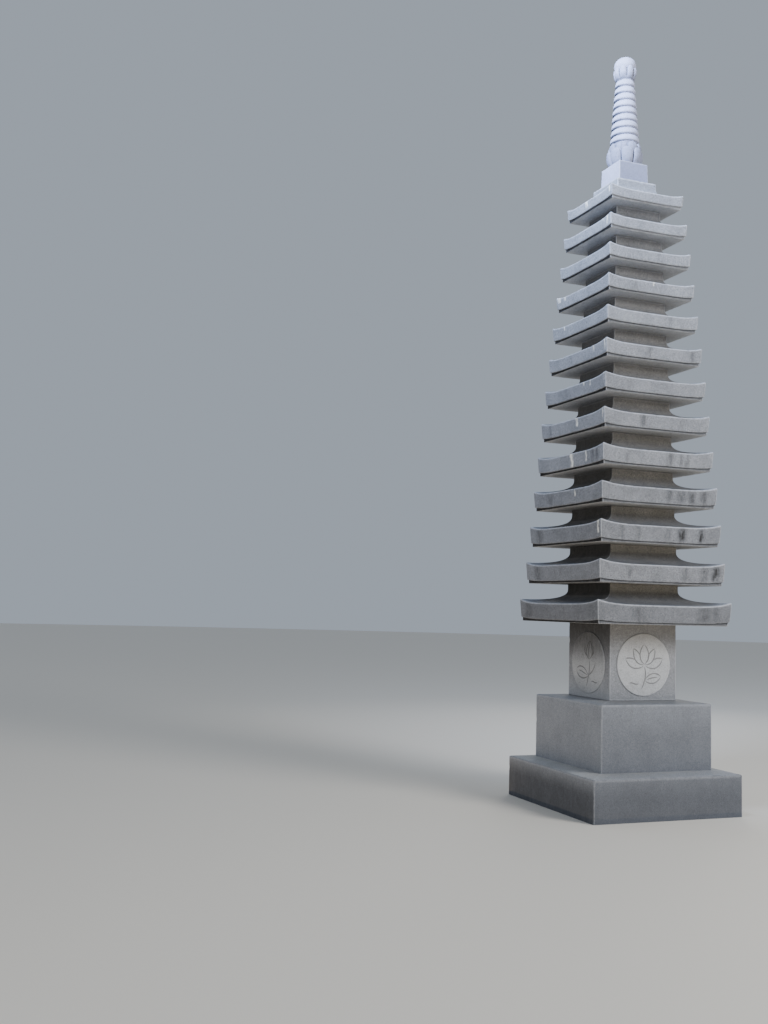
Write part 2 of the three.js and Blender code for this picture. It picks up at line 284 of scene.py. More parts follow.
class PagodaFinish(bpy.types.PropertyGroup):
    """Colours of the granite, of what has settled on it, and of the painted shade and light"""

    eave_grey: tint("Eave granite", "Ground colour of the roof stones", (0.248, 0.262, 0.292))
    storey_grey: tint("Block granite", "Ground colour of the lowest storey", (0.238, 0.250, 0.276))
    base_grey: tint("Base granite", "Ground colour of the base stones", (0.250, 0.270, 0.308))
    # Also the paler tone that paints light onto the soffits and the low shaded sides
    disc_grey: tint("Disc granite", "Ground colour of the moon discs", (0.448, 0.464, 0.490))
    # Paler and bluer than the other granite: painted sky light on the finial
    finial_sky_lit_grey: tint("Finial granite", "Ground colour of the finial", (0.390, 0.412, 0.560))
    mica: tint("Mica", "Colour of the dark grains", (0.060, 0.060, 0.066))
    feldspar: tint("Feldspar", "Colour of the pale grains", (0.620, 0.620, 0.640))
    # A brown film that is partly grime and partly painted shade under the eaves
    grime_and_shade: tint("Sheltered grime", "Tone of the walls under the eaves", (1.000, 0.865, 0.650))
    # Also the tone of painted shade on the shaded sides, in the eave creases, the ring undercuts
    # and under the cup
    rain_and_painted_shade: tint("Rain marks", "Tone of the dark rain marks", (0.115, 0.108, 0.106))
    # Tone of painted shade in the creases, the undercuts, on the slopes, the lower tiers and the
    # left and back sides, and partly of damp at the foot of the base stones
    damp_and_shade: tint("Damp", "Tone of the walls and creases that never dry", (0.300, 0.310, 0.335))
    lime: tint("Lime", "Colour of the white runs", (0.800, 0.790, 0.740))
    arris_pale: tint("Worn arris", "Colour of the worn edges", (0.560, 0.580, 0.630))
    dust: tint("Dust", "Colour of what settles on top", (0.300, 0.290, 0.260))
    # Painted shade at the bottom of the incised lines and along the crease under each eave
    cut: tint("Cuts", "Tone at the bottom of incised lines", (0.200, 0.190, 0.180))


class PagodaStudio(bpy.types.PropertyGroup):
    """Camera and lights"""

    camera_place: FloatVectorProperty(
        name="Camera place", description="Where the camera stands",
        default=(-4.88298, -7.40047, 1.50416), size=3, subtype="TRANSLATION", unit="LENGTH",
    )
    camera_turn: rotation("Camera turn", "Turn from the front towards the right", 20.8812)
    camera_tilt: rotation("Camera tilt", "Upward tilt", 5.0699)
    camera_roll: rotation("Camera roll", "Roll about the line of sight", 1.4965)
    lens: FloatProperty(name="Lens", description="Focal length", default=37.823, unit="CAMERA")
    key_power: wattage("Key light", "Soft light from the front right", 3700.0)
    rear_power: wattage("Rear fill", "Soft light from behind on the right", 95.0)
    fill_power: wattage("Upper fill", "Soft light from the upper left", 250.0)
    low_power: wattage("Low fill", "Soft light from low on the left", 145.0)
    bounce_power: wattage("Ground light", "Warm light thrown up by the ground", 40.0)
    sky: tint("Sky", "Colour of the surroundings", (0.760, 0.860, 1.000))
    sky_strength: FloatProperty(
        name="Sky strength", description="Light from the surroundings", default=0.46, min=0.0
    )
    floor: tint("Floor", "Colour of the floor", (0.800, 0.755, 0.680))


# Stone cutting


def float_layers(bm, *names):
    """The named values of each point, made where the mesh hasn't got them yet."""
    floats = bm.verts.layers.float
    return [floats.get(name) or floats.new(name) for name in names]


def draw_up(bm, ring, growth, lift):
    """Extrudes a ring of edges, scales it about the vertical axis and lifts it."""
    made = bmesh.ops.extrude_edge_only(bm, edges=ring)["geom"]
    verts = [part for part in made if isinstance(part, bmesh.types.BMVert)]
    lifted = set(verts)
    edges = [
        part for part in made
        if isinstance(part, bmesh.types.BMEdge) and lifted.issuperset(part.verts)
    ]
    bmesh.ops.scale(bm, vec=(growth, growth, 1), verts=verts)
    bmesh.ops.translate(bm, vec=(0, 0, lift), verts=verts)
    return verts, edges


def square_stone(levels, spacing, arris):
    """Square stone drawn up through its levels, with its corners and marked edges rounded."""
    bm = bmesh.new()
    turn_up, shelter, worn = float_layers(bm, "turn_up", "shelter", "worn")
    first = levels[0]
    cuts = 2 * round(max(level.half for level in levels) / spacing) - 1
    placing = Matrix.Translation((0, 0, first.height)) @ Matrix.Rotation(math.pi / 4, 4, "Z")
    bmesh.ops.create_circle(bm, segments=4, radius=first.half * math.sqrt(2), matrix=placing)
    bmesh.ops.subdivide_edges(bm, edges=bm.edges[:], cuts=cuts)
    for vert in bm.verts:
        vert.co.x = crowded(vert.co.x, first.half)
        vert.co.y = crowded(vert.co.y, first.half)
        vert[shelter] = first.shelter
    foot = ring = bm.edges[:]
    rounded = list(ring) if first.arris else []
    for below, level in zip(levels, levels[1:]):
        verts, ring = draw_up(bm, ring, level.half / below.half, level.height - below.height)
        for vert in verts:
            vert[turn_up] = level.turn_up
            vert[shelter] = level.shelter
        if level.arris:
            rounded.extend(ring)
    bmesh.ops.edgeloop_fill(bm, edges=foot)
    bmesh.ops.edgeloop_fill(bm, edges=ring)
    corners = [edge for edge in bm.edges if is_corner(edge, first.height)]
    for vert in bm.verts:
        vert.co.z += vert[turn_up] * corner_pull(vert.co)
    bmesh.ops.recalc_face_normals(bm, faces=bm.faces)
    edges = list(set(rounded) | set(corners))
    softened = bmesh.ops.bevel(
        bm, geom=edges, offset=arris, offset_type="OFFSET", segments=ARRIS_SEGMENTS, profile=0.5,
        affect="EDGES", clamp_overlap=True, material=-1,
    )
    for face in softened["faces"]:
        for vert in face.verts:
            vert[worn] = 1.0
    bmesh.ops.recalc_face_normals(bm, faces=bm.faces)
    return bm


def crowded(value, half):
    """Moves points along a side a little towards its corners."""
    share = value / half
    return half * ((1 - CROWDING) * share + CROWDING * math.sin(share * math.pi / 2))


def is_corner(edge, foot):
    """Whether an edge runs up one of the four corners."""
    on_diagonal = all(abs(abs(vert.co.x) - abs(vert.co.y)) < EXACT for vert in edge.verts)
    return on_diagonal and any(vert.co.z > foot + CLOSE for vert in edge.verts)


def square_reach(point):
    """Distance from the axis, measured square to the nearest side."""
    return max(abs(point.x), abs(point.y))


def corner_pull(point):
    """How much a point shares in the nearest corner's turn-up, from 0 at mid-side to 1."""
    near, far = sorted((abs(point.x), abs(point.y)))
    return (near / far) ** CORNER_CURVE_POWER


def wear_less_keep_corner_highlight(bm, edge_share, corner_share, above):
    """Leaves the edges below a height less worn than the upper edge, and the upright corners a
    little less worn, their pale line partly a painted highlight.
    """
    worn = bm.verts.layers.float["worn"]
    corner_lift, corner_start = 0.02, 0.985
    for vert in bm.verts:
        near, far = sorted((abs(vert.co.x), abs(vert.co.y)))
        if vert.co.z < above + corner_lift * corner_pull(vert.co):
            vert[worn] *= corner_share if near > corner_start * far else edge_share


def chip_arrises(bm, depth, pitch):
    """Knocks small chips, as deep and as far apart as given, out of the rounded edges."""
    worn = bm.verts.layers.float["worn"]
    untouched, steepness = 0.28, 3.0
    bm.normal_update()
    for vert in bm.verts:
        if vert[worn] > 0.5:
            bite = noise.noise(vert.co / pitch) - untouched
            if bite > 0:
                vert.co -= vert.normal * min(depth, bite * steepness * depth)


def turned_stone(profile, segments):
    """Solid turned about the vertical axis from (radius, height) pairs that start and end on it."""
    bm = bmesh.new()
    verts = [bm.verts.new((radius, 0, height)) for radius, height in profile]
    edges = [bm.edges.new(pair) for pair in zip(verts, verts[1:])]
    bmesh.ops.spin(
        bm, geom=verts + edges, cent=(0, 0, 0), axis=(0, 0, 1), angle=math.tau, steps=segments,
        use_merge=True,
    )
    bmesh.ops.remove_doubles(bm, verts=bm.verts, dist=MERGED)
    return bm


def place_stone(bm, name, node, material):
    """Turns a finished stone into a smooth-shaded object that stands in for its node."""
    bmesh.ops.recalc_face_normals(bm, faces=bm.faces)
    mesh = bpy.data.meshes.new(name)
    bm.to_mesh(mesh)
    bm.free()
    mesh.polygons.foreach_set("use_smooth", [True] * len(mesh.polygons))
    mesh.set_sharp_from_angle(angle=SHARP_ANGLE)
    mesh.materials.append(material)
    piece = bpy.data.objects.new(name, mesh)
    bpy.context.scene.collection.objects.link(piece)
    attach(piece, "root")
    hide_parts(node)


def smooth_step(value):
    """Smooth change from 0 to 1 while the value goes from 0 to 1."""
    value = min(max(value, 0.0), 1.0)
    return value * value * (3 - 2 * value)


def along_curve(points, share):
    """Value at a share of evenly spaced control values, joined smoothly."""
    place = min(max(share, 0.0), 1.0) * (len(points) - 1)
    index = min(int(place), len(points) - 2)
    rest = place - index
    before = points[max(index - 1, 0)]
    start, end = points[index], points[index + 1]
    after = points[min(index + 2, len(points) - 1)]
    return 0.5 * (
        2 * start + (end - before) * rest + (2 * before - 5 * start + 4 * end - after) * rest ** 2
        + (3 * start - before - 3 * end + after) * rest ** 3
    )


def turned_away(point, spread):
    """How far a point lies on the left and back sides, which get the painted shade, from 0 to 1."""
    away = max(-point.x, point.y) - max(point.x, -point.y)
    return smooth_step(0.5 + away / spread)


# Base stones


def crowned_slab(node, side, edge_top, seat_side, rounding):
    """Square slab with its top crowned from the edge up to the stone that stands on it."""
    spacing, side_row, top_row = 0.018, 0.03, 0.02
    seat_lap, crown_curve, top_shelter = 0.004, 1.3, 0.25
    low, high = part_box(node)
    half, seat = side / 2, seat_side / 2 - seat_lap
    rows = round((edge_top - low.z) / side_row)
    levels = [Level(half, low.z)]
    for row in range(1, rows):
        levels.append(Level(half, low.z + (edge_top - low.z) * row / rows))
    levels.append(Level(half, edge_top, arris=True))
    steps = round((half - seat) / top_row)
    for step in range(1, steps + 1):
        inward = step / steps
        height = edge_top + (high.z - edge_top) * (1 - (1 - inward) ** crown_curve)
        shelter = smooth_step(inward) * top_shelter
        levels.append(Level(half - (half - seat) * inward, height, shelter=shelter))
    return square_stone(levels, spacing, rounding)


def damp_and_shade_slab(bm, edge_top, darkening):
    """Darkens the sides of a slab towards the ground, partly as damp and partly as painted shade,
    paints shade on its top where it lies open, and paints the top of its shaded side paler as
    painted light.
    """
    damp_and_shade, rain_and_painted_shade, pale_and_painted_light = float_layers(bm, "damp_and_shade", "rain_and_painted_shade", "pale_and_painted_light")
    top_blend, open_top_shade, shaded_side_shade, least_pale = 0.3, 0.36, 0.25, 0.12
    steepness, open_start, shaded_start = 1.6, 0.1, 0.25
    foot = min(vert.co.z for vert in bm.verts)
    for vert in bm.verts:
        on_top = vert.co.z > edge_top + NEAR
        shaded = turned_away(vert.co, top_blend if on_top else CORNER_BLEND)
        fallen = (edge_top - vert.co.z) / (edge_top - foot) * steepness
        if on_top:
            open_side, shaded_side = open_top_shade * (1 - darkening.pale), 0.0
        else:
            growth = smooth_step(fallen + open_start)
            open_side = darkening.open_top + (darkening.open_foot - darkening.open_top) * growth
            shaded_side = darkening.shaded_foot * smooth_step(fallen + shaded_start)
        vert[damp_and_shade] = open_side + (shaded_side - open_side) * shaded
        vert[rain_and_painted_shade] = shaded_side_shade * shaded_side * shaded
        vert[pale_and_painted_light] = darkening.pale * (least_pale + (1 - least_pale) * shaded) * on_top


class PAGODA_OT_base_stones(bpy.types.Operator):
    """Cut the two square stones that the pagoda stands on"""

    bl_idname = "pagoda.base_stones"
    bl_label = "Base Stones"

    def execute(self, context):
        sizes = context.scene.pagoda_stones
        material = granite(
            "dressed_granite", context.scene.pagoda_finish.base_grey, marks=0.06, clouding=0.5,
            grain=0.6, wear=0.2,
        )
        chip_pitch = 0.05
        plinth = crowned_slab(
            "plinth_stone", sizes.plinth_side, sizes.plinth_edge_top, sizes.base_side,
            sizes.slab_rounding,
        )
        chip_arrises(plinth, 0.004, chip_pitch)
        damp_and_shade_slab(plinth, sizes.plinth_edge_top, PLINTH_DAMP_AND_SHADE)
        place_stone(plinth, "crowned_plinth", "plinth_stone", material)
        base = crowned_slab(
            "base_stone", sizes.base_side, sizes.base_edge_top, sizes.block_side,
            sizes.slab_rounding,
        )
        chip_arrises(base, 0.003, chip_pitch)
        damp_and_shade_slab(base, sizes.base_edge_top, BASE_DAMP_AND_SHADE)
        place_stone(base, "crowned_base", "base_stone", material)
        return {"FINISHED"}


# Lowest storey


def incised_strokes(sprig, radius, mirrored):
    """Middle lines of a sprig's strokes on a disc, each as a row of points."""
    points = 14
    strokes = []
    for knots in sprig:
        ends = [Vector((-x if mirrored else x, y, 0)) * radius for x, y in knots]
        strokes.append(interpolate_bezier(*ends, points))
    return strokes


def stroke_distance(point, strokes):
    """Distance to the nearest stroke, which thins towards its ends as a chisel leaves it."""
    margin, thinning = 0.02, 0.004
    nearest = 1.0
    for stroke in strokes:
        spans = len(stroke) - 1
        for index in range(spans):
            start, end = stroke[index], stroke[index + 1]
            if (point - start).length > (end - start).length + margin:
                continue
            _, share = intersect_point_line(point, start, end)
            share = min(max(share, 0.0), 1.0)
            along = (index + share) / spans
            away = (point - start.lerp(end, share)).length
            nearest = min(nearest, away + thinning * (2 * abs(along - 0.5)) ** 4)
    return nearest


def disc_outline(sizes):
    """(radius, height) of a moon disc's rings, from its foot to near its middle."""
    radius, rim = sizes.disc_radius, sizes.disc_rim
    rings, middle = 58, 0.002
    outline = [(radius, 0.003), (radius, rim - 0.005), (radius - 0.0015, rim - 0.002)]
    outline.append((radius - 0.005, rim))
    flat = radius - 0.009
    for ring in range(rings):
        reach = flat * (1 - ring / rings) + middle * ring / rings
        outline.append((reach, rim + sizes.disc_crown * (1 - (reach / flat) ** 2)))
    return outline


def add_moon_disc(bm, sizes, turn, sprig, mirrored, middle):
    """Low crowned disc with an incised sprig, on one face of the storey block."""
    painted_groove_shade, worn, pale_and_painted_light = float_layers(bm, "painted_groove_shade", "worn", "pale_and_painted_light")
    segments, sink, wear_start, wear_width = 300, 0.012, 0.003, 0.012
    radius = sizes.disc_radius
    ring = bmesh.ops.create_circle(bm, segments=segments, radius=radius)["verts"]
    bmesh.ops.translate(bm, vec=(0, 0, -sink), verts=ring)
    disc = list(ring)
    back = edges = list({edge for vert in ring for edge in vert.link_edges})
    at, height = radius, -sink
    for reach, level in disc_outline(sizes):
        verts, edges = draw_up(bm, edges, reach / at, level - height)
        disc.extend(verts)
        at, height = reach, level
    bmesh.ops.edgeloop_fill(bm, edges=back)
    bmesh.ops.edgeloop_fill(bm, edges=edges)
    strokes = incised_strokes(sprig, radius, mirrored)
    half_width = sizes.groove_width / 2
    for vert in disc:
        near_rim = smooth_step((vert.co.xy.length - radius + wear_width) / 0.010)
        vert[worn] = near_rim if vert.co.z > wear_start else 0.0
        vert[pale_and_painted_light] = 1.0
        if vert.co.z >= sizes.disc_rim - EXACT:
            away = stroke_distance(Vector((vert.co.x, vert.co.y, 0)), strokes)
            # Painted shade at the bottom of each incised line
            vert[painted_groove_shade] = max(0.0, 1 - away / (2 * half_width))
            vert.co.z -= sizes.groove_depth * smooth_step(1.15 - away / half_width)
    stand = Matrix.Rotation(math.pi / 2, 4, "X")
    shift = Matrix.Translation((0, -sizes.block_side / 2, middle - sizes.disc_drop))
    bmesh.ops.transform(bm, matrix=Matrix.Rotation(turn, 4, "Z") @ shift @ stand, verts=disc)


def shade_block(bm, low, high):
    """Paints shade and brown film on the block and its discs towards the eave, most on the left and
    back sides, and paints the foot of those sides paler as painted light.
    """
    damp_and_shade, rain_and_painted_shade, pale_and_painted_light, shelter = float_layers(bm, "damp_and_shade", "rain_and_painted_shade", "pale_and_painted_light", "shelter")
    for vert in bm.verts:
        share = (vert.co.z - low.z) / (high.z - low.z)
        vert[shelter] = smooth_step(share * 1.7 - 0.75)
        away = turned_away(vert.co, CORNER_BLEND)
        shaded = away * smooth_step(share * (1.7 + 0.2 * vert[pale_and_painted_light]) - 0.6)
        open_side_shade = (0.28 + 0.06 * vert[pale_and_painted_light]) * smooth_step(share * 2.0 - 0.72)
        vert[rain_and_painted_shade] = 0.35 * shaded
        vert[damp_and_shade] = shaded + (1 - shaded) * open_side_shade
        vert[pale_and_painted_light] = max(vert[pale_and_painted_light], away * smooth_step(0.95 - share * 2.2))


class PAGODA_OT_storey_block(bpy.types.Operator):
    """Cut the lowest storey block with its four moon discs"""

    bl_idname = "pagoda.storey_block"
    bl_label = "Storey Block"

    def execute(self, context):
        sizes = context.scene.pagoda_stones
        low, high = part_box("first_storey_block")
        rows = 30
        levels = []
        for row in range(rows + 1):
            height = low.z + (high.z - low.z) * (row / rows)
            levels.append(Level(sizes.block_side / 2, height, arris=row in (0, rows)))
        bm = square_stone(levels, 0.016, 0.005)
        chip_arrises(bm, 0.003, 0.04)
        middle = (low.z + high.z) / 2
        sprigs = (OPEN_FLOWER, CLOSED_BUD, OPEN_FLOWER, CLOSED_BUD)
        for side, sprig in enumerate(sprigs):
            add_moon_disc(bm, sizes, side * math.pi / 2, sprig, side in (1, 2), middle)
        shade_block(bm, low, high)
        material = granite(
            "moon_face_granite", context.scene.pagoda_finish.storey_grey, marks=0.08, clouding=0.6,
            grain=0.8, wear=0.35, grime_and_shade=0.5,
        )
        place_stone(bm, "moon_disc_storey", "first_storey_block", material)
        return {"FINISHED"}


# Roof stones


def roof_node(tier):
    """Name of a roof stone's node."""
    return f"roof_stone_{tier:02d}"


def roof_form(sizes, tier):
    """Heights and half sides of one roof stone."""
    low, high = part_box(roof_node(tier))
    below = tier - 1
    middle = sizes.corner_middle + sizes.tier_spacing * below - sizes.spacing_loss * below * below
    thickness = sizes.corner_thickness - sizes.thickness_loss * below
    top_rise = sizes.top_rise - sizes.top_rise_loss * below
    storey_side = sizes.storey_side - sizes.storey_side_loss * below
    half = (high.x - low.x) / 2
    return SimpleNamespace(
        half=half,
        lower_half=half * sizes.eave_lean,
        step_half=half * sizes.eave_lean - sizes.soffit_inset,
        storey_half=(sizes.seat_side if tier == TIER_COUNT else storey_side) / 2,
        seat_half=(sizes.block_side if tier == 1 else storey_side + sizes.storey_side_loss) / 2,
        soffit=low.z,
        lower=low.z + sizes.soffit_step,
        upper=middle + thickness / 2 - top_rise,
        top=high.z,
        top_rise=top_rise,
        bottom_rise=sizes.bottom_rise - sizes.bottom_rise_loss * below,
    )


def roof_levels(form, sheltered):
    """Outlines of one roof stone, from under its soffit to the top of its storey block.

    sheltered is 1 where a roof above keeps the rain off the storey block, and otherwise 0.
    """
    levels = []
    seat_lap, soffit_rim, soffit_rings = 0.006, 0.012, 6
    inner, outer = form.seat_half - seat_lap, form.step_half - soffit_rim
    for ring in range(soffit_rings + 1):
        share = ring / soffit_rings
        levels.append(Level(inner + (outer - inner) * share, form.soffit, 0.0, 0.8 - 0.5 * share))

    riser_shelter, crease_height = 0.10, 0.004
    levels += [
        Level(form.step_half, form.soffit, 0.0, riser_shelter, True),
        Level(form.step_half, form.lower - crease_height, form.bottom_rise, riser_shelter),
        Level(form.step_half, form.lower, form.bottom_rise, riser_shelter),
        Level(form.lower_half, form.lower, form.bottom_rise, 0.0, True),
    ]

    face_row, least_rows = 0.013, 6
    rows = max(least_rows, round((form.upper - form.lower) / face_row))
    for row in range(1, rows + 1):
        share = row / rows
        half = form.lower_half + (form.half - form.lower_half) * share
        height = form.lower + (form.upper - form.lower) * share
        rise = form.bottom_rise + (form.top_rise - form.bottom_rise) * share
        levels.append(Level(half, height, rise, 0.0, row == rows))

    # The slope sweeps in almost level from the eave and turns up into the storey block.
    slope_rows, outward_crowding, level_sweep, sweep_end = 14, 1.15, 0.08, 0.72
    overhang = form.half - form.storey_half
    start = Vector((form.half, form.upper, 0))
    pull = Vector((form.storey_half, form.upper + overhang * level_sweep, 0))
    end = Vector((form.storey_half, form.upper + (form.top - form.upper) * sweep_end, 0))
    for row in range(1, slope_rows + 1):
        share = (row / slope_rows) ** outward_crowding
        point = start.lerp(pull, share).lerp(pull.lerp(end, share), share)
        rise = form.top_rise * (1 - share) ** 2
        # Brown film on the slope, partly painted shade from the eave above
        shelter = sheltered * smooth_step(share * 1.6 - 0.6)
        levels.append(Level(point.x, point.y, rise, shelter))
    levels.append(Level(form.storey_half, (end.y + form.top) / 2, 0.0, sheltered))
    levels.append(Level(form.storey_half, form.top, 0.0, sheltered, True))
    return levels


def face_and_place(point):
    """Which of the four faces a point belongs to, and its place from left to right, 0 to 1."""
    reach = square_reach(point)
    if abs(point.y) >= abs(point.x):
        face, along = ("front", point.x / reach) if point.y < 0 else ("back", -point.x / reach)
    else:
        face, along = ("right", point.y / reach) if point.x > 0 else ("left", -point.y / reach)
    return face, (along + 1) / 2


def eave_marks(tier):
    """Rain marks and lime runs of one eave by face, those of the two unseen faces by chance."""
    chance = random.Random(MARK_SEED + tier)
    rain = {face: RAIN_MARKS.get((tier, face), ()) for face in ("front", "left")}
    lime = {face: LIME_RUNS.get((tier, face), ()) for face in ("front", "left")}
    lime_chance, lime_strength = 0.6, 0.8
    for face in ("right", "back"):
        rain[face], lime[face] = [], []
        for _ in range(chance.randint(2, 5)):
            place, width = chance.uniform(0.06, 0.94), chance.uniform(0.02, 0.045)
            rain[face].append((place, width, chance.uniform(0.25, 0.70)))
        if chance.random() < lime_chance:
            width, fall = chance.uniform(0.010, 0.024), chance.uniform(0.3, 1.0)
            lime[face].append((chance.uniform(0.1, 0.9), width, lime_strength, fall))
    return rain, lime


def soffit_shade(form, reach, open_air):
    """How much painted shade the shaded side of a soffit gets, most near the wall of a low storey.
    """
    inward = (form.step_half - reach) / (form.step_half - form.seat_half)
    return (0.45 - 0.35 * open_air) * smooth_step(inward * 1.3)


def slope_shade(form, reach, height, open_air):
    """How much painted shade the slope above an eave gets from the eave over it, from its rim to
    the foot of the storey block.
    """
    inward = (form.half - reach) / (form.half - form.storey_half)
    fall = (form.top - height) / (form.top - form.upper)
    rim = smooth_step(inward * 8.0 - 0.1)
    slope = (0.76 - 0.16 * open_air) * smooth_step((1.0 - inward) * 8.0)
    foot = 0.62 * smooth_step((fall - 0.20) / 0.30)
    return rim * max(slope, foot)


def crease_depth(height, lower):
    """How deep a point of the soffit's step lies in the crease below the eave face."""
    if height > lower - 0.002:
        return 0.85
    return 0.5 if height > lower - 0.006 else 0.0


def shade_roof(bm, form, tier):
    """Paints shade into the crease under the eave, onto the slope above it and onto the left and
    back sides, and paints the soffits paler as light thrown up from the ground.

    The lowest roofs stand in shade, and open_air says how far a roof stands above them.
    """
    damp_and_shade, pale_and_painted_light, rain_and_painted_shade, painted_groove_shade = float_layers(bm, "damp_and_shade", "pale_and_painted_light", "rain_and_painted_shade", "painted_groove_shade")
    shelter = bm.verts.layers.float["shelter"]
    open_air = (tier - 1) / (TIER_COUNT - 1)
    # Strength of the painted shadow line under each eave, fainter on the higher roofs
    crease = smooth_step((1.25 - open_air) / 0.6)
    wall_shade, seat_darkening = 0.85 * open_air ** 1.6, 0.25
    wall_start = form.half - 0.9 * (form.half - form.storey_half)
    for vert in bm.verts:
        reach = square_reach(vert.co)
        lower = form.lower + form.bottom_rise * corner_pull(vert.co)
        under = abs(vert.co.z - form.soffit) < NEAR
        shaded = turned_away(vert.co, 0.12 if under else 0.006)
        above = vert.co.z > form.upper
        # Soffit: painted shade on the shaded side, and paler stone as painted light thrown up from
        # the ground
        if under:
            vert[damp_and_shade] = shaded * soffit_shade(form, reach, open_air)
            vert[pale_and_painted_light] = 0.75 + 0.15 * shaded
        # Riser of the step: painted shadow line in the crease under the eave face, and painted
        # shade on the shaded sides
        elif abs(reach - form.step_half) < 0.003 and not above:
            depth = crease_depth(vert.co.z, lower)
            vert[damp_and_shade] = max(crease if depth else 0.5 * crease, shaded)
            vert[painted_groove_shade] = max(depth * crease, shaded)
            vert[rain_and_painted_shade] = 0.8 * max(depth * crease, shaded)
        # Slope and storey wall: painted shade from the eave above, and on the shaded sides
        elif above and tier < TIER_COUNT and reach < form.half - NEAR:
            vert[damp_and_shade] = slope_shade(form, reach, vert.co.z, open_air)
            if reach < wall_start:
                vert[damp_and_shade] = max(vert[damp_and_shade], wall_shade, shaded * (1.0 - 0.60 * open_air))
                vert[rain_and_painted_shade] = shaded * max(0.0, 0.34 - 0.60 * open_air)
        # Seat of the highest roof: darker on its open sides
        elif above and tier == TIER_COUNT and reach < form.half - 0.02:
            vert[damp_and_shade] = seat_darkening * (1 - shaded)
        # Less brown film on the higher roofs: painted light where they stand in open sky
        vert[shelter] *= 1 - 0.75 * open_air


def across_mark(place, centre, width):
    """How strong a mark is at a place along the eave, 1 at its middle."""
    return math.exp(-((place - centre) / width) ** 2)


def rain_at(place, share, marks):
    """Strongest rain mark at a place along an eave face and a share of its height."""
    fade = smooth_step((1.04 - share) / 0.22) * smooth_step(share * 2.2 + 0.35)
    strengths = [strength * across_mark(place, centre, width) for centre, width, strength in marks]
    return max(strengths, default=0.0) * fade


def lime_at(place, share, runs):
    """Strongest lime run there; a run narrows and ends as it comes down."""
    narrowing = 1 - 0.5 * min(max(1 - share, 0.0), 1.0)
    strengths = [
        strength * across_mark(place, centre, width * narrowing)
        * smooth_step((share - 1 + fall) / 0.18 + 0.5)
        for centre, width, strength, fall in runs
    ]
    return max(strengths, default=0.0)


def stain_eaves(bm, form, tier):
    """Writes the rain marks, the lime runs and the painted shade at the foot of each face of one
    eave into the stone.
    """
    damp_and_shade, rain_and_painted_shade, lime = float_layers(bm, "damp_and_shade", "rain_and_painted_shade", "lime")
    rain, runs = eave_marks(tier)
    for vert in bm.verts:
        if square_reach(vert.co) < form.lower_half - 0.03:
            continue
        pull = corner_pull(vert.co)
        lower = form.lower + form.bottom_rise * pull
        upper = form.upper + form.top_rise * pull
        share = (vert.co.z - lower) / (upper - lower)
        if share < -0.02:
            continue
        face, place = face_and_place(vert.co)
        foot_shade = TIER_SHADE[tier - 1] * smooth_step((1.0 - share) / 0.12)
        vert[damp_and_shade] = max(vert[damp_and_shade], foot_shade)
        vert[rain_and_painted_shade] = max(vert[rain_and_painted_shade], rain_at(place, share, rain[face]))
        vert[lime] = lime_at(place, share, runs[face])


class PAGODA_OT_roof_stones(bpy.types.Operator):
    """Cut the thirteen roof stones, each with the storey block above it"""

    bl_idname = "pagoda.roof_stones"
    bl_label = "Roof Stones"

    def execute(self, context):
        sizes = context.scene.pagoda_stones
        material = granite(
            "weathered_granite", context.scene.pagoda_finish.eave_grey, marks=0.07, clouding=0.9,
            grain=1.0, wear=0.6,
        )
        for tier in range(1, TIER_COUNT + 1):
            form = roof_form(sizes, tier)
            arris = sizes.arris * (0.62 + 0.38 * form.half / 0.6)
            levels = roof_levels(form, float(tier < TIER_COUNT))
            bm = square_stone(levels, sizes.mesh_spacing, arris)
            chip_arrises(bm, 0.003, 0.035)
            wear_less_keep_corner_highlight(bm, 0.3, 0.8, form.upper - 0.008)
            shade_roof(bm, form, tier)
            stain_eaves(bm, form, tier)
            node = roof_node(tier)
            place_stone(bm, f"swept_{node}", node, material)
        return {"FINISHED"}


# Finial


def away_from_light(point):
    """How far a point of a round stone lies on the side turned away from the light, 0 to 1."""
    from_light = Vector((-0.45, 0.9))
    away = from_light.dot(point.xy) / max(point.xy.length, CLOSE)
    return smooth_step(0.5 + 0.6 * away)


def petal_place(angle, offset):
    """Place across the nearest petal, from -1 at one edge to 1 at the other."""
    turn = angle * PETAL_COUNT / math.tau + offset
    return 2 * (turn - math.floor(turn)) - 1


